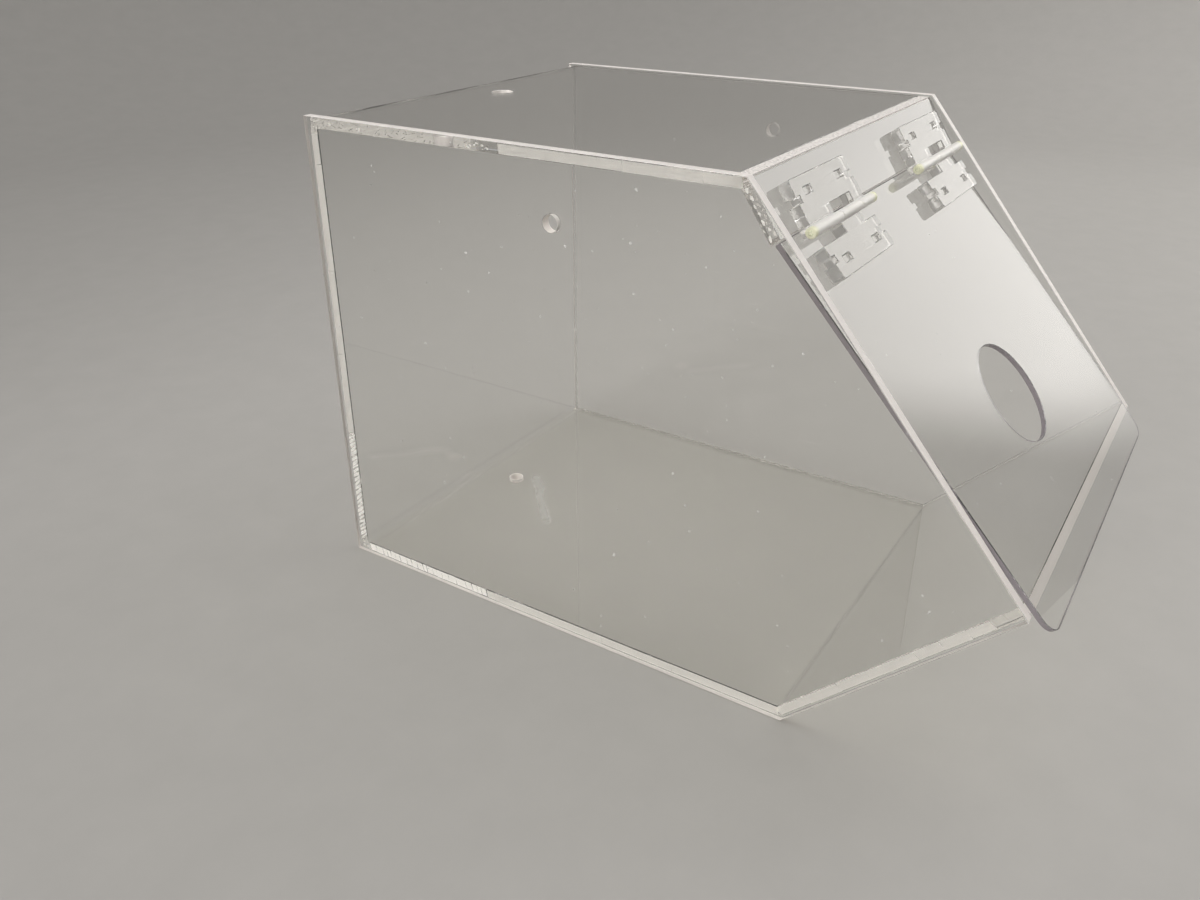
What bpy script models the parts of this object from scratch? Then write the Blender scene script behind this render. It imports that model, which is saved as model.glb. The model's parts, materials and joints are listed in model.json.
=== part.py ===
"""Clear acrylic bench enclosure with a sloped door on two clear acrylic hinges. Metres, +Z up, door towards -Y."""

import math

import bmesh
import bpy
from mathutils import Vector

# ---- driving dimensions (metres, degrees) ----
SHEET = 0.0056  # thickness of every sheet but the door
DOOR_SHEET = 0.0028
WIDTH = 0.254  # over the outer faces of the side panels
BACK_HEIGHT = 0.2722  # height of the side panels at the back
TOP_DEPTH = 0.2592  # length of their level top edge
NOSE_DEPTH = 0.4014  # how far forward the nose is
NOSE_HEIGHT = 0.1046
FLOOR_DEPTH = 0.2979  # length of their level bottom edge
OVERHANG = 0.0010  # how far side panels stand past the bent sheet at the back, top and lower front
BEND_OUTER = 0.0066
BEND_INNER = 0.0012
BEND_STEPS = 8
JOINT_GAP = 0.0003  # cement line or running clearance between pieces that touch
EDGE_BREAK = 0.00035

HEADER_TILT = 55.6  # from level
HEADER_LENGTH = 0.0295  # along its outer face
DOOR_TILT = 47.1  # from level, at rest
DOOR_LEFT_CLEARANCE = 0.0011
DOOR_RIGHT_CLEARANCE = 0.0076
DOOR_TOP = 0.0040  # from the pin axis up to the door's top edge
DOOR_BOTTOM = 0.1990  # from the pin axis down to the door's bottom edge
DOOR_CORNER = 0.0100
DOOR_HOLE_DIAMETER = 0.0540
DOOR_HOLE_BELOW_AXIS = 0.1190
DOOR_HOLE_X = -0.0102

PORT_DIAMETER = 0.0085
TOP_PORT_DIAMETER = 0.0127
SIDE_PORT_DEPTH = 0.1595  # from the back face
SIDE_PORT_HEIGHT = 0.2376
END_PORT_DEPTH = 0.0350  # port in the top and port in the floor, from the back face

AXIS_ALONG_SLOPE = 0.0335  # pin axis from the top of the sloped edge
AXIS_ABOVE_HEADER = 0.0073  # pin axis above the outer face of the header
AXIS_ABOVE_DOOR = 0.0081  # pin axis above the outer face of the door
AXIS_OFF_SLOPE = 0.0025  # pin axis outside the line of the sloped edge

LEAF_WIDTH = 0.0635
LEAF_REACH = 0.0242  # from the pin axis to the leaf's far edge
LEAF_TOP = 0.0013  # how far the outer faces of the leaves lie below the pin axis
LEAF_CORNER = 0.0022
TONGUE_PAST_AXIS = 0.0012
WINDOW_REACH = 0.0075  # where a leaf starts beside the other leaf's knuckle
NOTCH_WIDTH = 0.0040
NOTCH_START = 0.0130
NOTCH_LENGTH = 0.0034
POCKET_FROM_END = 0.0137  # centre of each shallow pocket, from the end of the leaf
POCKET_FROM_AXIS = 0.0170
POCKET_LENGTH = 0.0080
POCKET_WIDTH = 0.0036
POCKET_DEPTH = 0.0012
BARREL_DIAMETER = 0.0052
BARREL_OVERHANG = 0.0055
BORE_DIAMETER = 0.0026
PIN_DIAMETER = 0.0024
PIN_RECESS = 0.0004
KNUCKLE_GAP = 0.0005
FIRST_SPLIT = 0.43  # along the leaf, where the first knuckle meets the second
SECOND_SPLIT = 0.80
LEFT_HINGE_X = -0.0735
RIGHT_HINGE_X = 0.0690

CIRCLE_STEPS = 56
SMALL_STEPS = 32

# ---- worked out from the dimensions ----
SLOPE = Vector((NOSE_DEPTH - TOP_DEPTH, NOSE_HEIGHT - BACK_HEIGHT)).normalized()
SLOPE_OUT = Vector((-SLOPE.y, SLOPE.x))
AXIS_DEPTH = TOP_DEPTH + AXIS_ALONG_SLOPE * SLOPE.x + AXIS_OFF_SLOPE * SLOPE_OUT.x
AXIS_HEIGHT = BACK_HEIGHT + AXIS_ALONG_SLOPE * SLOPE.y + AXIS_OFF_SLOPE * SLOPE_OUT.y
DOOR_DOWN = Vector((math.cos(math.radians(DOOR_TILT)), -math.sin(math.radians(DOOR_TILT))))
DOOR_OUT = Vector((-DOOR_DOWN.y, DOOR_DOWN.x))
HEADER_DOWN = Vector((math.cos(math.radians(HEADER_TILT)), -math.sin(math.radians(HEADER_TILT))))
HEADER_OUT = Vector((-HEADER_DOWN.y, HEADER_DOWN.x))
AXIS = Vector((AXIS_DEPTH, AXIS_HEIGHT))
FULL_DEPTH = (AXIS + (DOOR_BOTTOM - EDGE_BREAK) * DOOR_DOWN - AXIS_ABOVE_DOOR * DOOR_OUT).x
BACK_Y = FULL_DEPTH / 2
INNER_HALF = WIDTH / 2 - SHEET - JOINT_GAP  # half the width between the side panels, less the cement line


def clear_scene():
    for obj in list(bpy.data.objects):
        bpy.data.objects.remove(obj)


def collection_named(name):
    made = bpy.data.collections.new(name)
    bpy.context.scene.collection.children.link(made)
    return made


def material_named(name, color, roughness, alpha):
    made = bpy.data.materials.new(name)
    made.use_nodes = True
    shader = made.node_tree.nodes["Principled BSDF"]
    shader.inputs["Base Color"].default_value = (*color, 1.0)
    shader.inputs["Roughness"].default_value = roughness
    shader.inputs["Alpha"].default_value = alpha
    return made


def world_of(depth, height):
    """A point of the side view, as (y, z): depth is counted from the back face towards the door."""
    return (BACK_Y - depth, height)


def prism(name, outline, start, end, axes, collection):
    """A solid with this outline in two of its axes, drawn from start to end along the third."""
    across, up, along = axes
    shape = bmesh.new()
    points = []
    for first, second in outline:
        point = [0.0, 0.0, 0.0]
        point[across] = first
        point[up] = second
        point[along] = start
        points.append(shape.verts.new(point))
    face = shape.faces.new(points)
    drawn = bmesh.ops.extrude_face_region(shape, geom=[face])
    moved = [item for item in drawn["geom"] if isinstance(item, bmesh.types.BMVert)]
    shift = [0.0, 0.0, 0.0]
    shift[along] = end - start
    bmesh.ops.translate(shape, verts=moved, vec=shift)
    bmesh.ops.recalc_face_normals(shape, faces=shape.faces)
    mesh = bpy.data.meshes.new(name)
    shape.to_mesh(mesh)
    shape.free()
    made = bpy.data.objects.new(name, mesh)
    collection.objects.link(made)
    return made


def rod(name, radius, start, end, steps, collection, end_break=0.0):
    """A round solid along X, from start to end, its rims broken by end_break."""
    profile = [(start, 0.0), (start, radius - end_break)]
    if end_break:
        profile.append((start + end_break * 0.3, radius - end_break * 0.3))
        profile.append((start + end_break, radius))
        profile.append((end - end_break, radius))
        profile.append((end - end_break * 0.3, radius - end_break * 0.3))
    profile.append((end, radius - end_break))
    profile.append((end, 0.0))
    shape = bmesh.new()
    rings = []
    for x, r in profile:
        if r == 0.0:
            rings.append([shape.verts.new((x, 0.0, 0.0))])
            continue
        ring = []
        for step in range(steps):
            angle = 2 * math.pi * step / steps
            ring.append(shape.verts.new((x, r * math.cos(angle), r * math.sin(angle))))
        rings.append(ring)
    for ring, after in zip(rings, rings[1:]):
        for step in range(steps):
            corners = [
                ring[step % len(ring)],
                ring[(step + 1) % len(ring)],
                after[(step + 1) % len(after)],
                after[step % len(after)],
            ]
            shape.faces.new(list(dict.fromkeys(corners)))
    bmesh.ops.recalc_face_normals(shape, faces=shape.faces)
    mesh = bpy.data.meshes.new(name)
    shape.to_mesh(mesh)
    shape.free()
    made = bpy.data.objects.new(name, mesh)
    collection.objects.link(made)
    return made


def break_edges(obj, width=EDGE_BREAK, segments=1):
    bevel = obj.modifiers.new("edge break", "BEVEL")
    bevel.width = width
    bevel.segments = segments
    bevel.limit_method = "ANGLE"
    bevel.angle_limit = math.radians(35)
    bevel.harden_normals = False


def combine(obj, other, operation):
    boolean = obj.modifiers.new(f"{operation.lower()} {other.name}", "BOOLEAN")
    boolean.operation = operation
    boolean.solver = "EXACT"
    boolean.object = other


def helper(obj):
    obj.hide_render = True
    obj.display_type = "WIRE"
    return obj


def drill(target, name, location, direction, diameter, length, steps=CIRCLE_STEPS):
    """A round hole through target, centred on location and running along direction."""
    bit = helper(rod(name, diameter / 2, -length / 2, length / 2, steps, cutters))
    bit.location = location
    bit.rotation_euler = Vector((1.0, 0.0, 0.0)).rotation_difference(direction).to_euler()
    combine(target, bit, "DIFFERENCE")


def bake(obj):
    """Writes the modifiers into the mesh, so that edge breaks can follow the holes."""
    graph = bpy.context.evaluated_depsgraph_get()
    mesh = bpy.data.meshes.new_from_object(obj.evaluated_get(graph))
    obj.modifiers.clear()
    obj.data = mesh


def smooth_round_faces(obj):
    obj.data.shade_smooth()
    obj.data.set_sharp_from_angle(angle=math.radians(32))


def arc_between(before, corner, after, radius):
    """Points of the arc that rounds a corner of an outline."""
    back = (before - corner).normalized()
    ahead = (after - corner).normalized()
    half = back.angle(ahead) / 2
    start = corner + back * radius / math.tan(half)
    end = corner + ahead * radius / math.tan(half)
    centre = corner + (back + ahead).normalized() * radius / math.sin(half)
    first = start - centre
    turn = math.atan2(first.x * (end - centre).y - first.y * (end - centre).x, first.dot(end - centre))
    points = []
    for step in range(BEND_STEPS + 1):
        angle = turn * step / BEND_STEPS
        cosine, sine = math.cos(angle), math.sin(angle)
        points.append(centre + Vector((first.x * cosine - first.y * sine, first.x * sine + first.y * cosine)))
    return points


def rounded(points, radii):
    """An open line with its inner corners rounded."""
    line = [points[0]]
    for before, corner, after, radius in zip(points, points[1:], points[2:], radii):
        line.extend(arc_between(before, corner, after, radius))
    line.append(points[-1])
    return line


def line_at_height(point, direction, height):
    return point + direction * ((height - point.y) / direction.y)


clear_scene()
parts = collection_named("acrylic_enclosure")
cutters = collection_named("cutters")
acrylic = material_named("clear_acrylic", (0.93, 0.94, 0.92), 0.05, 0.30)
hinge_acrylic = material_named("moulded_acrylic", (0.95, 0.95, 0.93), 0.10, 0.45)
pin_plastic = material_named("pin_plastic", (0.86, 0.88, 0.72), 0.30, 1.0)

# ---- side panels: five-sided sheets, cemented over the ends of the bent sheet ----
side_outline = [
    world_of(0.0, 0.0),
    world_of(FLOOR_DEPTH, 0.0),
    world_of(NOSE_DEPTH, NOSE_HEIGHT),
    world_of(TOP_DEPTH, BACK_HEIGHT),
    world_of(0.0, BACK_HEIGHT),
]
side_port_y, side_port_z = world_of(SIDE_PORT_DEPTH, SIDE_PORT_HEIGHT)
for name, side in (("left", -1), ("right", 1)):
    panel = prism(f"{name}_side_panel", side_outline, -SHEET / 2, SHEET / 2, (1, 2, 0), parts)
    panel.location.x = side * (WIDTH - SHEET) / 2
    drill(
        panel,
        f"{name}_side_port_drill",
        (panel.location.x, side_port_y, side_port_z),
        Vector((1.0, 0.0, 0.0)),
        PORT_DIAMETER,
        3 * SHEET,
    )
    panel.data.materials.append(acrylic)

# ---- header strip: tilted, its top edge trimmed level with the top sheet ----
top_height = BACK_HEIGHT - OVERHANG
door_plane_point = AXIS - AXIS_ABOVE_DOOR * DOOR_OUT
header_point = AXIS - AXIS_ABOVE_HEADER * HEADER_OUT
header_top_outer = line_at_height(header_point, HEADER_DOWN, top_height)
header_top_inner = line_at_height(header_point - SHEET * HEADER_OUT, HEADER_DOWN, top_height)
header_low_outer = header_top_outer + HEADER_LENGTH * HEADER_DOWN
header_low_inner = header_low_outer - SHEET * HEADER_OUT
header_outline = [header_top_outer, header_top_inner, header_low_inner, header_low_outer]
header = prism(
    "header_strip",
    [world_of(*point) for point in header_outline],
    -INNER_HALF,
    INNER_HALF,
    (1, 2, 0),
    parts,
)
header.data.materials.append(acrylic)

# ---- bent sheet: top, back, floor and lower front in one piece ----
lower_front = Vector((NOSE_DEPTH - FLOOR_DEPTH, NOSE_HEIGHT)).normalized()
lower_front_in = Vector((-lower_front.y, lower_front.x))
front_outer = Vector((FLOOR_DEPTH, 0.0)) + OVERHANG * lower_front_in
front_inner = front_outer + SHEET * lower_front_in
door_inside = door_plane_point - (DOOR_SHEET + JOINT_GAP) * DOOR_OUT
to_outer = (door_inside - front_outer).dot(DOOR_OUT) / lower_front.dot(DOOR_OUT)
to_inner = (door_inside - front_inner).dot(DOOR_OUT) / lower_front.dot(DOOR_OUT)
front_length = min(to_outer, to_inner)
top_front = header_top_inner.x - JOINT_GAP
outer_corners = [
    Vector((top_front, top_height)),
    Vector((OVERHANG, top_height)),
    Vector((OVERHANG, 0.0)),
    line_at_height(front_outer, lower_front, 0.0),
    front_outer + front_length * lower_front,
]
inner_corners = [
    Vector((top_front, top_height - SHEET)),
    Vector((OVERHANG + SHEET, top_height - SHEET)),
    Vector((OVERHANG + SHEET, SHEET)),
    line_at_height(front_inner, lower_front, SHEET),
    front_inner + front_length * lower_front,
]
shell_outline = rounded(outer_corners, [BEND_OUTER] * 3) + rounded(inner_corners, [BEND_INNER] * 3)[::-1]
shell = prism(
    "bent_shell",
    [world_of(*point) for point in shell_outline],
    -INNER_HALF,
    INNER_HALF,
    (1, 2, 0),
    parts,
)
end_port_y = world_of(END_PORT_DEPTH, 0.0)[0]
upright = Vector((0.0, 0.0, 1.0))
drill(shell, "top_port_drill", (0.0, end_port_y, top_height), upright, TOP_PORT_DIAMETER, 4 * SHEET)
drill(shell, "floor_port_drill", (0.0, end_port_y, 0.0), upright, PORT_DIAMETER, 4 * SHEET)
shell.data.materials.append(acrylic)

# ---- door: its origin on the pin axis, its own +Y up the slope and +Z outwards ----
axis_y, axis_z = world_of(AXIS_DEPTH, AXIS_HEIGHT)
door_left = -WIDTH / 2 + SHEET + DOOR_LEFT_CLEARANCE
door_right = WIDTH / 2 - SHEET - DOOR_RIGHT_CLEARANCE
door_corners = [
    Vector((door_left, DOOR_TOP)),
    Vector((door_left, -DOOR_BOTTOM)),
    Vector((door_right, -DOOR_BOTTOM)),
    Vector((door_right, DOOR_TOP)),
]
door_outline = rounded(door_corners, [DOOR_CORNER] * 2)
door = prism(
    "door",
    door_outline,
    -AXIS_ABOVE_DOOR - DOOR_SHEET,
    -AXIS_ABOVE_DOOR,
    (0, 1, 2),
    parts,
)
door.location = (0.0, axis_y, axis_z)
door.rotation_euler = (math.radians(DOOR_TILT), 0.0, 0.0)
hole_centre = AXIS + DOOR_HOLE_BELOW_AXIS * DOOR_DOWN - (AXIS_ABOVE_DOOR + DOOR_SHEET / 2) * DOOR_OUT
hole_y, hole_z = world_of(*hole_centre)
drill(
    door,
    "door_hole_drill",
    (DOOR_HOLE_X, hole_y, hole_z),
    Vector((0.0, -DOOR_OUT.x, DOOR_OUT.y)),
    DOOR_HOLE_DIAMETER,
    4 * SHEET,
)
door.data.materials.append(acrylic)

# ---- hinges ----
half_leaf = LEAF_WIDTH / 2
first_split = -half_leaf + FIRST_SPLIT * LEAF_WIDTH
second_split = -half_leaf + SECOND_SPLIT * LEAF_WIDTH
barrel_half = half_leaf + BARREL_OVERHANG
upper_knuckles = [
    (-barrel_half, first_split - KNUCKLE_GAP / 2),
    (second_split + KNUCKLE_GAP / 2, barrel_half),
]
lower_knuckles = [(first_split + KNUCKLE_GAP / 2, second_split - KNUCKLE_GAP / 2)]


def leaf_outline(knuckles, side):
    """The leaf seen from outside, its tongues reaching the barrel at its own knuckles and notches in its ends."""
    notch_end = NOTCH_START + NOTCH_LENGTH
    edge = [(-half_leaf, WINDOW_REACH)]
    for start, end in knuckles:
        left = max(start, -half_leaf)
        right = min(end, half_leaf)
        if left == -half_leaf:
            edge = []
        else:
            edge.append((left, WINDOW_REACH))
        edge.append((left, -TONGUE_PAST_AXIS))
        edge.append((right, -TONGUE_PAST_AXIS))
        if right < half_leaf:
            edge.append((right, WINDOW_REACH))
    if knuckles[-1][1] < half_leaf:
        edge.append((half_leaf, WINDOW_REACH))
    edge.append((half_leaf, NOTCH_START))
    edge.append((half_leaf - NOTCH_WIDTH, NOTCH_START))
    edge.append((half_leaf - NOTCH_WIDTH, notch_end))
    edge.append((half_leaf, notch_end))
    far = [
        Vector((half_leaf, notch_end)),
        Vector((half_leaf, LEAF_REACH)),
        Vector((-half_leaf, LEAF_REACH)),
        Vector((-half_leaf, notch_end)),
    ]
    edge.extend(rounded(far, [LEAF_CORNER] * 2)[1:])
    edge.append((-half_leaf + NOTCH_WIDTH, notch_end))
    edge.append((-half_leaf + NOTCH_WIDTH, NOTCH_START))
    edge.append((-half_leaf, NOTCH_START))
    return [(x, side * y) for x, y in edge]


def hinge_leaf(name, knuckles, side, axis_above_sheet, tilt, location):
    base = -axis_above_sheet + JOINT_GAP
    leaf = prism(name, leaf_outline(knuckles, side), base, -LEAF_TOP, (0, 1, 2), parts)
    leaf.location = location
    leaf.rotation_euler = (math.radians(tilt), 0.0, 0.0)
    for number, x in enumerate((POCKET_FROM_END - half_leaf, half_leaf - POCKET_FROM_END)):
        near = side * (POCKET_FROM_AXIS - POCKET_WIDTH / 2)
        far = side * (POCKET_FROM_AXIS + POCKET_WIDTH / 2)
        left = x - POCKET_LENGTH / 2
        right = x + POCKET_LENGTH / 2
        corners = [(left, near), (right, near), (right, far), (left, far)]
        floor = -LEAF_TOP - POCKET_DEPTH
        pocket = prism(f"{name}_pocket_{number}", corners, floor, 0.0, (0, 1, 2), cutters)
        helper(pocket).location = location
        pocket.rotation_euler = leaf.rotation_euler
        combine(leaf, pocket, "DIFFERENCE")
    break_edges(leaf, 0.0003)
    for number, (start, end) in enumerate(knuckles):
        barrel = rod(
            f"{name}_knuckle_{number}",
            BARREL_DIAMETER / 2,
            start,
            end,
            SMALL_STEPS,
            cutters,
            end_break=0.0005,
        )
        helper(barrel).location = location
        combine(leaf, barrel, "UNION")
    bore = helper(rod(f"{name}_bore", BORE_DIAMETER / 2, -0.06, 0.06, SMALL_STEPS, cutters))
    bore.location = location
    combine(leaf, bore, "DIFFERENCE")
    leaf.data.materials.append(hinge_acrylic)
    return leaf


moving = [door]
finished = []
for name, x in (("left", LEFT_HINGE_X), ("right", RIGHT_HINGE_X)):
    place = (x, axis_y, axis_z)
    upper = hinge_leaf(
        f"{name}_hinge_upper_leaf", upper_knuckles, 1, AXIS_ABOVE_HEADER, HEADER_TILT, place
    )
    lower = hinge_leaf(
        f"{name}_hinge_lower_leaf", lower_knuckles, -1, AXIS_ABOVE_DOOR, DOOR_TILT, place
    )
    finished.extend([upper, lower])
    moving.append(lower)
    pin = rod(
        f"{name}_hinge_pin",
        PIN_DIAMETER / 2,
        -barrel_half + PIN_RECESS,
        barrel_half - PIN_RECESS,
        SMALL_STEPS,
        parts,
        end_break=0.0003,
    )
    pin.location = place
    pin.data.materials.append(pin_plastic)
    smooth_round_faces(pin)

bpy.context.view_layer.update()
for obj in finished:
    bake(obj)
    smooth_round_faces(obj)
for obj in [obj for obj in parts.objects if "hinge" not in obj.name]:
    bake(obj)
    break_edges(obj)
    smooth_round_faces(obj)

# ---- what turns with the door hangs from an empty on the pin axis ----
swing = bpy.data.objects.new("door_axis", None)
swing.location = (0.0, axis_y, axis_z)
parts.objects.link(swing)
bpy.context.view_layer.update()
for obj in moving:
    obj.parent = swing
    obj.matrix_parent_inverse = swing.matrix_world.inverted()
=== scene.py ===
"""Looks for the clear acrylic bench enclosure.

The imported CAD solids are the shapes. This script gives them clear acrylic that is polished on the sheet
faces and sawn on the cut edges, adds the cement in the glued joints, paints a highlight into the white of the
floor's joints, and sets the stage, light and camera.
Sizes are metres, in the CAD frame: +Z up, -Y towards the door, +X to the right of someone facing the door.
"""

import json
import math
import random

import bmesh
import bpy
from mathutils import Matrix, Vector


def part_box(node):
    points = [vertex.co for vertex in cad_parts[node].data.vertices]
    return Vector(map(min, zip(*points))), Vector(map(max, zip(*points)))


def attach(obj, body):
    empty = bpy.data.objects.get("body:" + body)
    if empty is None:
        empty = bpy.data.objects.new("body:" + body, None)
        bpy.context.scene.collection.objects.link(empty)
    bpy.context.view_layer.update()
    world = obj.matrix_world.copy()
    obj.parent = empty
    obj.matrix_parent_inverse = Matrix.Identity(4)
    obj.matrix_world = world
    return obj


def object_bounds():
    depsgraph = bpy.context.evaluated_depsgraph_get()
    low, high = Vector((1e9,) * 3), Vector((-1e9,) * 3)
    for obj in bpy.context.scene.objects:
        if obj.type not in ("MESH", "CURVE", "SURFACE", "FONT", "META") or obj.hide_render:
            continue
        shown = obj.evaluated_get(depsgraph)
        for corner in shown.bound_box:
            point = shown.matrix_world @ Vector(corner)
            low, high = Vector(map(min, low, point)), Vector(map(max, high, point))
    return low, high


CAMERA_AZIMUTH = -57.02
CAMERA_ELEVATION = 27.68
CAMERA_DISTANCE = 0.6034
CAMERA_TARGET_FROM_CENTRE = Vector((-0.0673, 0.0569, -0.0478))
CAMERA_LENS = 30.89
SENSOR_WIDTH = 36.0

ACRYLIC_IOR = 1.49
PINK_WHITE = (0.98, 0.93, 0.895, 1)
SMOKE = (0.32, 0.29, 0.31, 1)
LIGHT_BOUNCES = 40

STAGE_RADIUS = 2.6
STAGE_RIM = 1.1
STAGE_HEIGHT = 2.4
STAGE_DROP = 0.0004
STAGE_TURNS = 72
STAGE_BEND_STEPS = 16
WINDOW_X = 1.6
WINDOW_FRONT_Y = -1.4
WINDOW_TOP = 1.5
WINDOW_GLOW = 2.4
WORLD_GLOW = 0.48
WARM_WHITE = (1.0, 0.985, 0.96)

DOOR_TILT = 47.1  # degrees from level
HEADER_TILT = 55.6
SHEET = 0.0056
BARREL_RADIUS = 0.0031
FLOOR_PORT_RIM = 0.0050  # radius within which the floor port's wall and broken edge lie
TOP_PORT_RIM = 0.0066
NOSE_EDGE_NORMAL = (0.0, -0.7, 0.714)  # the way that the lower front's top edge faces
SMEAR_START = Vector((0.014, 0.164))  # the rub mark on the floor, in X and Y
SMEAR_END = Vector((-0.041, 0.114))

SIDE_JOINT_X = 0.12125  # middle of the cement line between a side panel and the bent sheet
CEMENT_THICKNESS = 0.00014
CEMENT_MARGIN = 0.0002  # how far the cement stops short of the sheet's own faces
BEAD_RADIUS = 0.0012
BEAD_FROM_JOINT = 0.0012
BEAD_INSET = 0.0013  # from the corner of the bent sheet's box to the middle of a bead
FLOOR_BEAD_HEIGHT = 0.0017
HEADER_PATCHES = 7
FIRST_PATCH = 0.006  # how far up the header from the hinge axis
PATCH_STEP = 0.0037
FILLET_STEPS = 60
FILLET_DROPS = (0.0004, 0.0011, 0.0018)  # how far below the header's top the points of each side lie
FILLET_FOOT = 0.0021
FILLET_OFF_HEADER = 0.0001
FILLET_BACK = 0.00025  # how far behind the header's box the fillet's back face stands
FILLET_END_GAP = 0.0004

# The white part of the floor's joint is trapped air and painted highlight, a glint along that joint.
WHITE_FLOOR = (0.197, 0.102)  # Y where the white part of the floor's joint starts and stops
CLEAR_FLOOR_BACK = 0.101
FLOOR_FRONT_Y = -0.0892  # middle of the joint where the floor bends up into the lower front
STREAKED_BACK = (0.0085, 0.082)  # heights of the streaked part of the back's joint
CLEAR_BACK = (0.084, 0.263)
CLEAR_TOP = (0.078, -0.050)
TOP_BUBBLES = ((0.165, 0.19, 4), (0.084, 0.102, 9))  # Y from, Y to, and how many
NOSE_JOINT_TOP = 0.096
NOSE_RUN = 0.1035  # the lower front leans forward by this much
NOSE_RISE = 0.1046  # over this height

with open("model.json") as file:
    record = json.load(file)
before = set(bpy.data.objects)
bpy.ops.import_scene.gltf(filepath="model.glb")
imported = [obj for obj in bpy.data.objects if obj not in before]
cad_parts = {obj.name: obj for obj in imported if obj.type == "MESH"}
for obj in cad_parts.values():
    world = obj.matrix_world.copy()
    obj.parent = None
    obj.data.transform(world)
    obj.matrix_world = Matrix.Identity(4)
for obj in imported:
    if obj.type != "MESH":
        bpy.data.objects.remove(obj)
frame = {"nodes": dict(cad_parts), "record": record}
cad_low, cad_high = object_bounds()
cad_centre = (cad_low + cad_high) / 2
nodes = frame["nodes"]
record = frame["record"]
shell_low, shell_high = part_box("bent_shell")
hinge_axis = tuple(record["behaviour"]["joints"][0]["pos_m"][1:])


def middle_of(low, high):
    return (Vector(low) + Vector(high)) / 2


hinge_middles = [middle_of(*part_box(f"{side}_hinge_pin")).x for side in ("left", "right")]
openings = {opening["name"]: opening["box_m"] for opening in record["physics"]["openings"]}
top_port = middle_of(*openings["top_port"])


def direction_at(tilt):
    """The normal of a sheet that leans back from the door side by a tilt in degrees from level."""
    angle = math.radians(tilt)
    return (0.0, -math.sin(angle), math.cos(angle))


# ---------------------------------------------------------------- node trees


class Tree:
    """A material's node tree, with short calls that add a node and link its inputs."""

    def __init__(self, name):
        self.material = bpy.data.materials.new(name)
        self.material.use_nodes = True
        self.nodes = self.material.node_tree.nodes
        self.links = self.material.node_tree.links
        self.nodes.clear()

    def feed(self, socket, value):
        if isinstance(value, bpy.types.NodeSocket):
            self.links.new(value, socket)
        else:
            socket.default_value = value

    def add(self, kind, **inputs):
        node = self.nodes.new(kind)
        for name, value in inputs.items():
            self.feed(node.inputs[name.replace("_", " ")], value)
        return node

    def math(self, operation, *values):
        node = self.nodes.new("ShaderNodeMath")
        node.operation = operation
        for socket, value in zip(node.inputs, values):
            self.feed(socket, value)
        return node.outputs[0]

    def place(self):
        """The point on the piece, in metres in the CAD frame at rest."""
        return self.add("ShaderNodeTexCoord").outputs["Object"]

    def parts(self):
        """The X, Y and Z of the point on the piece."""
        return self.add("ShaderNodeSeparateXYZ", Vector=self.place()).outputs

    def facing(self, direction):
        """How squarely the surface faces along a direction of the CAD frame or against it, from 0 to 1."""
        normal = self.add("ShaderNodeTexCoord").outputs["Normal"]
        dot = self.nodes.new("ShaderNodeVectorMath")
        dot.operation = "DOT_PRODUCT"
        self.feed(dot.inputs[0], normal)
        dot.inputs[1].default_value = direction
        return self.math("ABSOLUTE", dot.outputs["Value"])

    def stretched(self, vector, scale):
        node = self.add("ShaderNodeMapping", Vector=vector)
        node.inputs["Scale"].default_value = scale
        return node.outputs[0]

    def noise(self, vector, scale, detail=3.0, roughness=0.6):
        node = self.add("ShaderNodeTexNoise", Vector=vector, Scale=scale, Detail=detail, Roughness=roughness)
        return node.outputs["Fac"]

    def ramp(self, value, low, high, to_low=0.0, to_high=1.0):
        """The value carried from one range to another, held at the ends of the second."""
        node = self.add("ShaderNodeMapRange", Value=value)
        node.interpolation_type = "SMOOTHSTEP"
        node.inputs["From Min"].default_value = low
        node.inputs["From Max"].default_value = high
        node.inputs["To Min"].default_value = to_low
        node.inputs["To Max"].default_value = to_high
        return node.outputs[0]

    def blend(self, factor, first, second):
        """A colour between two, as the factor goes from 0 to 1."""
        node = self.nodes.new("ShaderNodeMix")
        node.data_type = "RGBA"
        self.feed(node.inputs["Factor"], factor)
        self.feed(node.inputs["A"], first)
        self.feed(node.inputs["B"], second)
        return node.outputs["Result"]

    def lets_lamps_through(self, shader, tint):
        """The shader as the camera sees it, and a tinted window to light on its way to other surfaces."""
        window = self.add("ShaderNodeBsdfTransparent", Color=tint)
        path = self.add("ShaderNodeLightPath")
        mix = self.nodes.new("ShaderNodeMixShader")
        self.feed(mix.inputs["Fac"], path.outputs["Is Shadow Ray"])
        self.links.new(shader, mix.inputs[1])
        self.links.new(window.outputs[0], mix.inputs[2])
        return mix.outputs[0]

    def finish(self, shader):
        output = self.nodes.new("ShaderNodeOutputMaterial")
        self.links.new(shader, output.inputs["Surface"])
        return self.material


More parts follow.
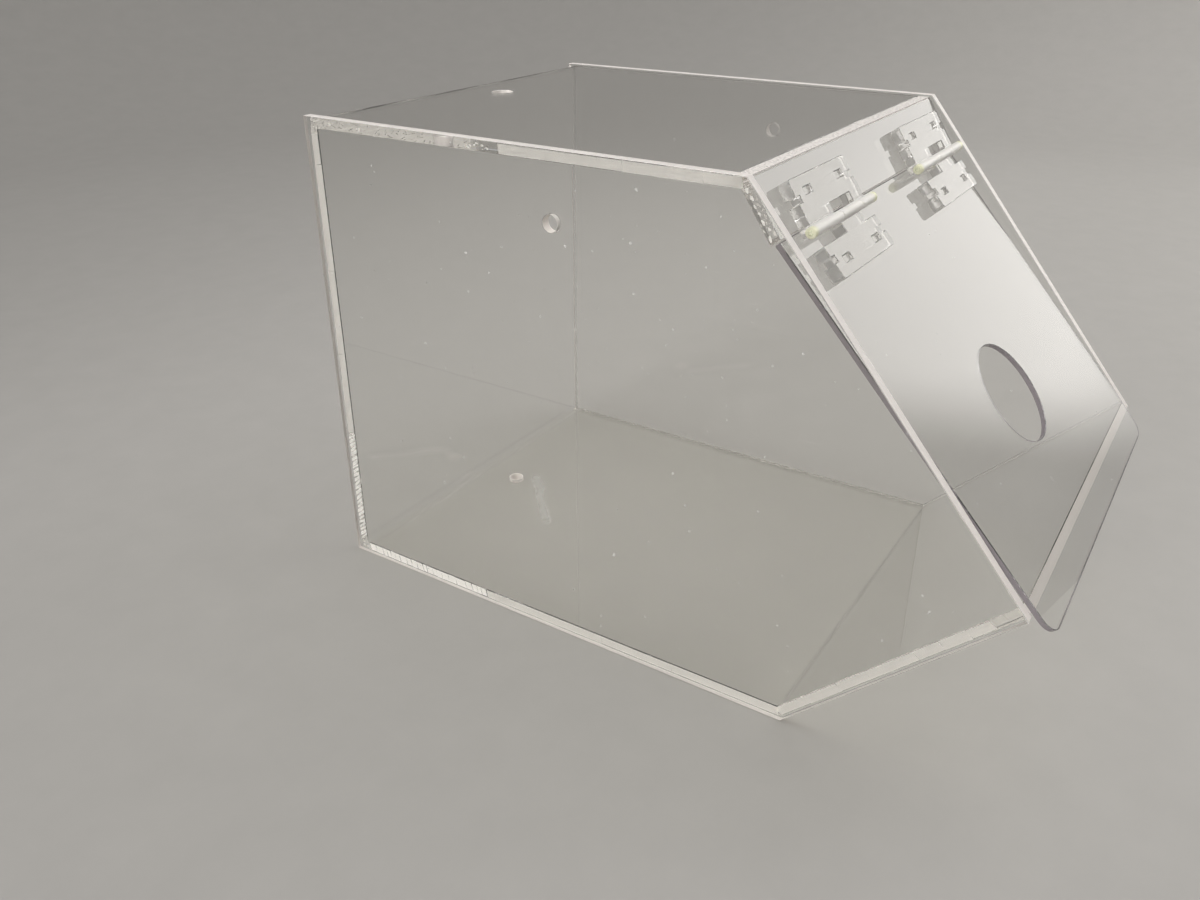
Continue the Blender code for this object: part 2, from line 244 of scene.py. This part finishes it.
def sheet_acrylic(name, cut_mask, cut_colour, cut_white, cut_rough, smear=None):
    """Clear acrylic sheet: polished faces with a little haze, and cut edges of their own finish.

    cut_mask takes the tree and gives 0 on the sheet's own faces and 1 on its cut edges. cut_white is the share
    of a cut edge that scatters light as white plastic does, and cut_rough its (lowest, highest) roughness.
    smear takes the tree and gives 1 where the face is rubbed dull."""
    tree = Tree(name)
    place = tree.place()
    cut = cut_mask(tree)
    haze = tree.ramp(tree.noise(place, 9.0), 0.45, 0.8, 0.0, 0.015)
    streaks = tree.noise(tree.stretched(place, (900.0, 40.0, 240.0)), 1.0)
    scratch = tree.ramp(streaks, 0.70, 0.74, 0.0, 0.18)
    dust = tree.ramp(tree.noise(place, 300.0, detail=1.0), 0.78, 0.82, 0.0, 0.5)
    saw = tree.noise(place, 900.0, detail=2.0)
    cut_roughness = tree.ramp(saw, 0.3, 0.7, *cut_rough)
    roughness = tree.math("MULTIPLY_ADD", cut, cut_roughness, tree.math("ADD", haze, scratch))
    white = tree.math("MAXIMUM", tree.math("MULTIPLY", cut, cut_white), dust)
    if smear:
        rubbed = smear(tree)
        white = tree.math("MAXIMUM", white, tree.math("MULTIPLY", rubbed, 0.07))
        roughness = tree.math("MAXIMUM", roughness, tree.math("MULTIPLY", rubbed, 0.3))
    clear = tree.math("SUBTRACT", 1.0, white)
    colour = tree.blend(cut, (0.982, 0.981, 0.972, 1), cut_colour)
    bump = tree.add("ShaderNodeBump", Height=saw, Strength=tree.math("MULTIPLY", cut, 0.12), Distance=0.0001)
    shader = tree.add(
        "ShaderNodeBsdfPrincipled",
        Base_Color=colour,
        Roughness=roughness,
        IOR=ACRYLIC_IOR,
        Transmission_Weight=clear,
        Normal=bump.outputs[0],
    )
    tint = tree.blend(cut, (0.93, 0.93, 0.92, 1), (0.45, 0.44, 0.43, 1))
    return tree.finish(tree.lets_lamps_through(shader.outputs[0], tint))


def cut_where_not_facing(direction):
    """Cut edges are wherever the surface doesn't face along the sheet's own normal."""

    def mask(tree):
        return tree.ramp(tree.facing(direction), 0.55, 0.75, 1.0, 0.0)

    return mask


def header_cut(tree):
    """The header's long cut edges. Its glued ends stay clear."""
    sawn = tree.ramp(tree.facing(direction_at(HEADER_TILT)), 0.55, 0.75, 1.0, 0.0)
    end = tree.ramp(tree.facing((1.0, 0.0, 0.0)), 0.6, 0.8, 1.0, 0.0)
    return tree.math("MULTIPLY", sawn, end)


def near_axis(tree, across, centre, radius):
    """1 within a radius of a line, 0 outside it. across picks the two coordinates that lie across the line."""
    parts = tree.parts()
    squares = []
    for name, middle in zip(across, centre):
        offset = tree.math("SUBTRACT", parts[name], middle)
        squares.append(tree.math("MULTIPLY", offset, offset))
    distance = tree.math("SQRT", tree.math("ADD", *squares))
    return tree.math("LESS_THAN", distance, radius)


def moulded_acrylic(name):
    """Clear moulded leaves, a little milky, with frosted knuckles painted half white as painted highlight, the
    milky glow of a clear barrel round its pin.
    """
    tree = Tree(name)
    place = tree.place()
    barrel = near_axis(tree, "YZ", hinge_axis, BARREL_RADIUS)
    along = tree.parts()["X"]
    offsets = [tree.math("ABSOLUTE", tree.math("SUBTRACT", along, x)) for x in hinge_middles]
    tip = tree.ramp(tree.math("MINIMUM", *offsets), 0.0325, 0.0366)
    barrel_colour = tree.blend(tip, (0.97, 0.955, 0.94, 1), (0.93, 0.93, 0.70, 1))
    grain = tree.noise(place, 380.0, detail=4.0)
    haze = tree.ramp(tree.noise(place, 60.0), 0.4, 0.8, 0.03, 0.12)
    frost = tree.ramp(grain, 0.3, 0.7, 0.28, 0.5)
    flow = tree.ramp(tree.noise(place, 90.0), 0.35, 0.75, 0.02, 0.09)
    # The knuckles' half white share is painted highlight: it stands in for the milky glow of the clear barrel
    # round its pin.
    white = tree.math("MAXIMUM", flow, tree.math("MULTIPLY", barrel, 0.5))
    bump = tree.add("ShaderNodeBump", Height=grain, Strength=0.12, Distance=0.0001)
    shader = tree.add(
        "ShaderNodeBsdfPrincipled",
        Base_Color=tree.blend(barrel, (0.985, 0.98, 0.965, 1), barrel_colour),
        Roughness=tree.math("MAXIMUM", haze, tree.math("MULTIPLY", barrel, frost)),
        IOR=ACRYLIC_IOR,
        Transmission_Weight=tree.math("SUBTRACT", 1.0, white),
        Normal=bump.outputs[0],
    )
    return tree.finish(tree.lets_lamps_through(shader.outputs[0], (0.8, 0.8, 0.79, 1)))


def pin_plastic(name):
    """Pale yellow-green plastic that lets a little light in."""
    tree = Tree(name)
    grain = tree.noise(tree.place(), 500.0)
    shader = tree.add(
        "ShaderNodeBsdfPrincipled",
        Base_Color=tree.blend(grain, (0.90, 0.91, 0.68, 1), (0.94, 0.95, 0.76, 1)),
        Roughness=tree.ramp(grain, 0.3, 0.7, 0.2, 0.35),
        IOR=ACRYLIC_IOR,
        Transmission_Weight=0.25,
    )
    return tree.finish(shader.outputs[0])


def dried_cement(name, clear_low, clear_high):
    """Cement that trapped air as it dried: white, and clearer where less air was trapped. Where the white kind
    lies along the floor's joints, it is also painted highlight for a glint there.
    """
    tree = Tree(name)
    foam = tree.noise(tree.place(), 700.0, detail=4.0)
    bump = tree.add("ShaderNodeBump", Height=foam, Strength=0.1, Distance=0.0001)
    shader = tree.add(
        "ShaderNodeBsdfPrincipled",
        Base_Color=tree.blend(foam, (0.95, 0.93, 0.90, 1), (0.99, 0.98, 0.965, 1)),
        Roughness=tree.ramp(foam, 0.3, 0.7, 0.45, 0.7),
        IOR=ACRYLIC_IOR,
        Transmission_Weight=tree.ramp(foam, 0.35, 0.65, clear_low, clear_high),
        Normal=bump.outputs[0],
    )
    return tree.finish(tree.lets_lamps_through(shader.outputs[0], (0.75, 0.74, 0.73, 1)))


# ---------------------------------------------------------------- CAD nodes


def shell_cut(tree):
    """The shell's two long cut edges and the walls of its ports. Its glued ends stay clear."""
    parts = tree.parts()
    nose_edge = tree.ramp(tree.facing(NOSE_EDGE_NORMAL), 0.93, 0.97)
    nose = tree.math("MULTIPLY", nose_edge, tree.math("LESS_THAN", parts["Y"], shell_low.y + 0.012))
    upright = tree.ramp(tree.facing((0.0, 1.0, 0.0)), 0.8, 0.95)
    in_top = tree.math("GREATER_THAN", parts["Z"], shell_high.z - SHEET - 0.001)
    front = tree.math("MULTIPLY", upright, in_top)
    front = tree.math("MULTIPLY", front, tree.math("LESS_THAN", parts["Y"], 0.0))
    upper = tree.math("GREATER_THAN", parts["Z"], 0.1)
    port_rim = tree.math("MULTIPLY_ADD", upper, TOP_PORT_RIM - FLOOR_PORT_RIM, FLOOR_PORT_RIM)
    ports = near_axis(tree, "XY", (top_port.x, top_port.y), port_rim)
    return tree.math("MAXIMUM", ports, tree.math("MAXIMUM", nose, front))


def floor_smear(tree):
    """A long rub mark on the floor, from just right of its port towards the left and the door."""
    parts = tree.parts()
    total = (SMEAR_END - SMEAR_START).length
    along = (SMEAR_END - SMEAR_START).normalized()
    x = tree.math("SUBTRACT", parts["X"], SMEAR_START.x)
    y = tree.math("SUBTRACT", parts["Y"], SMEAR_START.y)
    travel = tree.math("ADD", tree.math("MULTIPLY", x, along.x), tree.math("MULTIPLY", y, along.y))
    across = tree.math("SUBTRACT", tree.math("MULTIPLY", y, along.x), tree.math("MULTIPLY", x, along.y))
    wander = tree.ramp(tree.noise(tree.place(), 50.0), 0.3, 0.7, -0.0015, 0.0015)
    off = tree.math("ABSOLUTE", tree.math("ADD", across, wander))
    width = tree.ramp(off, 0.001, 0.0065, 1.0, 0.0)
    from_middle = tree.math("ABSOLUTE", tree.math("SUBTRACT", travel, total / 2))
    length = tree.ramp(from_middle, total * 0.38, total * 0.5, 1.0, 0.0)
    on_floor = tree.math("LESS_THAN", parts["Z"], 0.02)
    return tree.math("MULTIPLY", tree.math("MULTIPLY", width, length), on_floor)


side_cut = cut_where_not_facing((1.0, 0.0, 0.0))
door_cut = cut_where_not_facing(direction_at(DOOR_TILT))
side_sheet = sheet_acrylic("side_sheet", side_cut, PINK_WHITE, 0.78, (0.3, 0.55))
door_sheet = sheet_acrylic("door_sheet", door_cut, SMOKE, 0.55, (0.1, 0.2))
header_sheet = sheet_acrylic("header_sheet", header_cut, PINK_WHITE, 0.8, (0.2, 0.4))
bent_sheet = sheet_acrylic("bent_sheet", shell_cut, PINK_WHITE, 0.72, (0.3, 0.55), floor_smear)
hinge_acrylic = moulded_acrylic("hinge_acrylic")
hinge_pin = pin_plastic("hinge_pin")


def wear(node_name, material):
    mesh = nodes[node_name].data
    mesh.materials.clear()
    mesh.materials.append(material)


wear("bent_shell", bent_sheet)
wear("header_strip", header_sheet)
wear("door", door_sheet)
for side in ("left", "right"):
    wear(f"{side}_side_panel", side_sheet)
    wear(f"{side}_hinge_upper_leaf", hinge_acrylic)
    wear(f"{side}_hinge_lower_leaf", hinge_acrylic)
    wear(f"{side}_hinge_pin", hinge_pin)


# ---------------------------------------------------------------- cement in the joints, with painted highlight in the floor's

# The white cement is trapped air; along the floor's joints its white is also painted highlight, standing in
# for a glint there.
white_cement_and_glint = dried_cement("white_cement_and_glint", 0.0, 0.12)
thin_cement = dried_cement("thin_cement", 0.5, 0.8)


def add_piece(name, mesh, material):
    """A new piece from a finished bmesh, riding with the box."""
    bmesh.ops.recalc_face_normals(mesh, faces=mesh.faces)
    data = bpy.data.meshes.new(name)
    mesh.to_mesh(data)
    mesh.free()
    data.materials.append(material)
    piece = bpy.data.objects.new(name, data)
    bpy.context.scene.collection.objects.link(piece)
    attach(piece, "enclosure")


def slabs(name, outlines, x, material):
    """Thin plates on one plane across X, one for each outline of (y, z) points."""
    mesh = bmesh.new()
    for outline in outlines:
        rings = []
        for offset in (-CEMENT_THICKNESS / 2, CEMENT_THICKNESS / 2):
            rings.append([mesh.verts.new((x + offset, y, z)) for y, z in outline])
        mesh.faces.new(rings[0][::-1])
        mesh.faces.new(rings[1])
        for index in range(len(outline)):
            after = (index + 1) % len(outline)
            mesh.faces.new((rings[0][index], rings[0][after], rings[1][after], rings[1][index]))
    add_piece(name, mesh, material)


def blot(rng, centre, length, width, turn, corners=14):
    """An uneven oval outline about a centre, its length turned by an angle from +Y towards +Z."""
    outline = []
    for corner in range(corners):
        angle = 2 * math.pi * corner / corners
        swell = rng.uniform(0.78, 1.1)
        along = length / 2 * swell * math.cos(angle)
        across = width / 2 * swell * math.sin(angle)
        y = centre[0] + along * math.cos(turn) - across * math.sin(turn)
        z = centre[1] + along * math.sin(turn) + across * math.cos(turn)
        outline.append((y, z))
    return outline


def strip(rng, start, end, lengths, gaps, lean):
    """Four-cornered patches in a row along a joint, from start to end in (y, z), split by slanted cracks.

    Left and right are the two sides of the row as it runs from start to end."""
    start = Vector(start)
    along = Vector(end) - start
    total = along.length
    along.normalize()
    across = Vector((-along.y, along.x))
    patches = []
    travel = 0.0
    while total - travel > 0.001:
        stop = min(travel + rng.uniform(*lengths), total)
        slant = lean * rng.uniform(0.7, 1.3)
        left = SHEET / 2 - CEMENT_MARGIN - rng.uniform(0, 0.0004)
        right = SHEET / 2 - CEMENT_MARGIN - rng.uniform(0, 0.0004)
        left_side = ((travel + slant, left), (stop + slant, left))
        right_side = ((stop - slant, -right), (travel - slant, -right))
        corners = left_side + right_side
        patches.append([tuple(start + along * far + across * off) for far, off in corners])
        travel = stop + rng.uniform(*gaps)
    return patches


def top_bubbles(rng):
    """A few marks of trapped air in the clear back half of the top joint."""
    patches = []
    for first, last, count in TOP_BUBBLES:
        for _ in range(count):
            centre = (rng.uniform(first, last), top_z + rng.uniform(-0.0015, 0.0015))
            size = rng.uniform(0.0009, 0.0022)
            patches.append(blot(rng, centre, size, size * rng.uniform(0.3, 0.8), rng.uniform(-0.3, 0.3)))
    return patches


def header_joint(rng):
    """White patches on the ends of the header strip."""
    tilt = math.radians(HEADER_TILT)
    patches = []
    for step in range(HEADER_PATCHES):
        up = FIRST_PATCH + PATCH_STEP * step
        inside = rng.uniform(0.0090, 0.0112)
        y = hinge_axis[0] + up * math.cos(tilt) + inside * math.sin(tilt)
        z = hinge_axis[1] + up * math.sin(tilt) - inside * math.cos(tilt)
        size = rng.uniform(0.0018, 0.0034)
        patches.append(blot(rng, (y, z), size, size * rng.uniform(0.35, 0.7), tilt + rng.uniform(-0.3, 0.3)))
    return patches


def corner_bead(name, rng, place):
    """A lumpy drop of cement left in the corner outside a bend."""
    mesh = bmesh.new()
    bmesh.ops.create_icosphere(mesh, subdivisions=3, radius=BEAD_RADIUS)
    swell = [rng.uniform(0.8, 1.15) for _ in range(6)]
    for vert in mesh.verts:
        direction = vert.co.normalized()
        wave = 0.0
        for index, size in enumerate(swell):
            wave += size * math.sin(3 * direction.dot(Vector((index, 2 - index, 1))))
        vert.co = vert.co * (1 + 0.03 * wave)
        vert.co.x *= 0.6
        vert.co += Vector(place)
    for face in mesh.faces:
        face.smooth = True
    add_piece(name, mesh, thin_cement)


middle = SHEET / 2
back_y = shell_high.y - middle
top_z = shell_high.z - middle
nose_y = FLOOR_FRONT_Y - (NOSE_JOINT_TOP - middle) * NOSE_RUN / NOSE_RISE
bead_y = shell_high.y - BEAD_INSET

white_floor = [(y, middle) for y in WHITE_FLOOR]
clear_floor = [(CLEAR_FLOOR_BACK, middle), (FLOOR_FRONT_Y, middle)]
streaked_back = [(back_y, z) for z in STREAKED_BACK]
clear_back = [(back_y, z) for z in CLEAR_BACK]
clear_top = [(y, top_z) for y in CLEAR_TOP]
lower_front = [(FLOOR_FRONT_Y, middle), (nose_y, NOSE_JOINT_TOP)]

for side, x, seed in (("left", -SIDE_JOINT_X, 11), ("right", SIDE_JOINT_X, 47)):
    rng = random.Random(seed)
    # The floor's white patches are trapped air and painted highlight: they also stand in for the glint along
    # this joint.
    floor = strip(rng, *white_floor, (0.0025, 0.0075), (0.0002, 0.0006), 0.0006)
    slabs(f"{side}_floor_cement_and_glint", floor, x, white_cement_and_glint)
    floor_front = strip(rng, *clear_floor, (0.03, 0.09), (0.0001, 0.0002), 0.0004)
    slabs(f"{side}_floor_front_cement", floor_front, x, thin_cement)
    streaks = strip(rng, *streaked_back, (0.0014, 0.0026), (0.0006, 0.0014), 0.0018)
    slabs(f"{side}_back_streaks", streaks, x, white_cement_and_glint)
    back = strip(rng, *clear_back, (0.05, 0.09), (0.0001, 0.0002), 0.0004)
    slabs(f"{side}_back_cement", back, x, thin_cement)
    slabs(f"{side}_top_bubbles", top_bubbles(rng), x, white_cement_and_glint)
    top = strip(rng, *clear_top, (0.02, 0.07), (0.0001, 0.0002), 0.0004)
    slabs(f"{side}_top_cement", top, x, thin_cement)
    nose = strip(rng, *lower_front, (0.008, 0.03), (0.0001, 0.0004), 0.0006)
    slabs(f"{side}_lower_front_cement", nose, x, thin_cement)
    slabs(f"{side}_header_cement", header_joint(rng), x, white_cement_and_glint)
    inside = x - math.copysign(BEAD_FROM_JOINT, x)
    corner_bead(f"{side}_top_bead", rng, (inside, bead_y, shell_high.z - BEAD_INSET))
    corner_bead(f"{side}_floor_bead", rng, (inside, bead_y, FLOOR_BEAD_HEIGHT))


def header_fillet():
    """The bead of cement that fills the corner between the top sheet and the header strip.

    Its lowest three points sag unevenly along its length."""
    header_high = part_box("header_strip")[1]
    back_face = header_high.y + FILLET_BACK
    lean = 1 / math.tan(math.radians(HEADER_TILT))
    section = []
    for drop in FILLET_DROPS:
        section.append((header_high.y - drop * lean + FILLET_OFF_HEADER, header_high.z - drop))
    foot = len(section)
    section.append((back_face - 0.0004, header_high.z - FILLET_FOOT))
    for drop in reversed(FILLET_DROPS):
        section.append((back_face, header_high.z - drop))
    start = -SIDE_JOINT_X + FILLET_END_GAP
    step_length = -2 * start / FILLET_STEPS
    rng = random.Random(5)
    mesh = bmesh.new()
    rings = []
    for step in range(FILLET_STEPS + 1):
        sag = rng.uniform(-0.00012, 0.00012)
        ring = []
        for index, (y, z) in enumerate(section):
            if abs(index - foot) < 2:
                z += sag
            ring.append(mesh.verts.new((start + step * step_length, y, z)))
        rings.append(ring)
    count = len(section)
    for near, far in zip(rings, rings[1:]):
        for index in range(count):
            after = (index + 1) % count
            mesh.faces.new((near[index], near[after], far[after], far[index]))
    mesh.faces.new(rings[0][::-1])
    mesh.faces.new(rings[-1])
    add_piece("header_fillet", mesh, thin_cement)


header_fillet()


# ---------------------------------------------------------------- stage and light


def stage_sweep():
    """A pale floor that curves up all round into a wall, so that no edge shows from any side."""
    profile = [(0.0, 0.0), (STAGE_RADIUS - STAGE_RIM, 0.0)]
    for step in range(1, STAGE_BEND_STEPS + 1):
        angle = math.pi / 2 * step / STAGE_BEND_STEPS
        out = STAGE_RADIUS - STAGE_RIM + STAGE_RIM * math.sin(angle)
        profile.append((out, STAGE_RIM * (1 - math.cos(angle))))
    profile.append((STAGE_RADIUS, STAGE_HEIGHT))
    mesh = bmesh.new()
    rings = []
    for radius, height in profile:
        ring = []
        for turn in range(STAGE_TURNS):
            angle = 2 * math.pi * turn / STAGE_TURNS
            ring.append(mesh.verts.new((radius * math.cos(angle), radius * math.sin(angle), height)))
            if radius == 0.0:
                break
        rings.append(ring)
    for turn in range(STAGE_TURNS):
        after = (turn + 1) % STAGE_TURNS
        mesh.faces.new((rings[0][0], rings[1][turn], rings[1][after]))
        for inner, outer in zip(rings[1:], rings[2:]):
            mesh.faces.new((inner[turn], outer[turn], outer[after], inner[after]))
    data = bpy.data.meshes.new("stage_sweep")
    mesh.to_mesh(data)
    mesh.free()
    for face in data.polygons:
        face.use_smooth = True
    sweep = bpy.data.objects.new("stage_sweep", data)
    bpy.context.scene.collection.objects.link(sweep)
    sweep.location.z = cad_low.z - STAGE_DROP
    tree = Tree("stage_paper")
    grain = tree.noise(tree.place(), 30.0)
    colour = tree.blend(grain, (0.42, 0.408, 0.39, 1), (0.46, 0.447, 0.427, 1))
    shader = tree.add("ShaderNodeBsdfPrincipled", Base_Color=colour, Roughness=0.95)
    shader.inputs["Specular IOR Level"].default_value = 0.1
    data.materials.append(tree.finish(shader.outputs[0]))


def soft_light(name, place, aim, width, height, watts, colour):
    """A rectangular lamp at a place, turned to face the aim."""
    light = bpy.data.lights.new(name, "AREA")
    light.shape = "RECTANGLE"
    light.size = width
    light.size_y = height
    light.energy = watts
    light.color = colour
    lamp = bpy.data.objects.new(name, light)
    bpy.context.scene.collection.objects.link(lamp)
    lamp.location = place
    lamp.rotation_mode = "QUATERNION"
    lamp.rotation_quaternion = (Vector(aim) - Vector(place)).to_track_quat("-Z", "Y")
    return lamp


def window_card():
    """A tall soft window on the right, in front, for the sloped door to mirror. Only mirrors see it.

    It glows less towards the floor, and not at all at its top and its two sides."""
    mesh = bmesh.new()
    outline = ((0.0, 0.0), (WINDOW_FRONT_Y, 0.0), (WINDOW_FRONT_Y, WINDOW_TOP), (0.0, WINDOW_TOP))
    corners = [(WINDOW_X, y, z) for y, z in outline]
    mesh.faces.new([mesh.verts.new(corner) for corner in corners])
    data = bpy.data.meshes.new("window_card")
    mesh.to_mesh(data)
    mesh.free()
    card = bpy.data.objects.new("window_card", data)
    bpy.context.scene.collection.objects.link(card)
    card.visible_camera = False
    card.visible_transmission = False
    card.visible_shadow = False
    card.visible_diffuse = False
    tree = Tree("window_glow")
    parts = tree.parts()
    rise = tree.ramp(parts["Z"], 0.0, 0.32, 0.3, 1.0)
    top = tree.ramp(parts["Z"], 1.1, WINDOW_TOP, 1.0, 0.0)
    slanted = tree.math("MULTIPLY_ADD", parts["Z"], 0.25, parts["Y"])
    front = tree.ramp(slanted, -0.93, -0.70)
    back = tree.ramp(parts["Y"], -0.3, 0.0, 1.0, 0.0)
    share = tree.math("MULTIPLY", tree.math("MULTIPLY", rise, top), tree.math("MULTIPLY", front, back))
    glow = tree.add("ShaderNodeEmission", Color=(1.0, 0.975, 0.945, 1))
    tree.feed(glow.inputs["Strength"], tree.math("MULTIPLY", share, WINDOW_GLOW))
    open_back = tree.add("ShaderNodeBsdfTransparent")
    behind = tree.add("ShaderNodeNewGeometry").outputs["Backfacing"]
    mix = tree.nodes.new("ShaderNodeMixShader")
    tree.feed(mix.inputs["Fac"], behind)
    tree.links.new(glow.outputs[0], mix.inputs[1])
    tree.links.new(open_back.outputs[0], mix.inputs[2])
    data.materials.append(tree.finish(mix.outputs[0]))


def light_the_stage():
    """An even glow all round, a lamp overhead, and two lamps that mirrors and clear sheet don't show."""
    world = bpy.data.worlds.new("studio")
    bpy.context.scene.world = world
    world.use_nodes = True
    background = world.node_tree.nodes["Background"]
    background.inputs["Color"].default_value = (0.98, 0.985, 1.0, 1)
    background.inputs["Strength"].default_value = WORLD_GLOW
    window_card()
    soft_light("overhead", (0.2, 0.1, 2.3), (0, 0, 0), 1.8, 1.4, 18.0, WARM_WHITE)
    side = soft_light("side", (1.3, -0.9, 1.7), (0.6, -0.1, 0), 1.1, 0.9, 17.0, WARM_WHITE)
    fill = soft_light("left_fill", (-1.9, 0.3, 0.55), (0, 0, 0.15), 1.2, 0.8, 2.2, (1.0, 0.985, 0.97))
    fill.data.spread = math.radians(30)
    for lamp in (side, fill):
        lamp.visible_glossy = False
        lamp.visible_transmission = False


def place_camera():
    azimuth = math.radians(CAMERA_AZIMUTH)
    elevation = math.radians(CAMERA_ELEVATION)
    back = Vector(
        (
            math.sin(azimuth) * math.cos(elevation),
            -math.cos(azimuth) * math.cos(elevation),
            math.sin(elevation),
        )
    )
    data = bpy.data.cameras.new("camera")
    data.lens = CAMERA_LENS
    data.sensor_width = SENSOR_WIDTH
    data.clip_start = 0.01
    camera = bpy.data.objects.new("camera", data)
    bpy.context.scene.collection.objects.link(camera)
    camera.location = cad_centre + CAMERA_TARGET_FROM_CENTRE + back * CAMERA_DISTANCE
    camera.rotation_mode = "QUATERNION"
    camera.rotation_quaternion = (-back).to_track_quat("-Z", "Y")
    bpy.context.scene.camera = camera


def set_light_paths():
    """Clear sheet pipes light along itself, so paths need many bounces before they leave it."""
    cycles = bpy.context.scene.cycles
    cycles.max_bounces = LIGHT_BOUNCES
    cycles.glossy_bounces = LIGHT_BOUNCES
    cycles.transmission_bounces = LIGHT_BOUNCES
    cycles.transparent_max_bounces = LIGHT_BOUNCES


def set_view():
    """Colours as they come, with no film look."""
    bpy.context.scene.view_settings.view_transform = "Standard"


stage_sweep()
light_the_stage()
place_camera()
set_light_paths()
set_view()
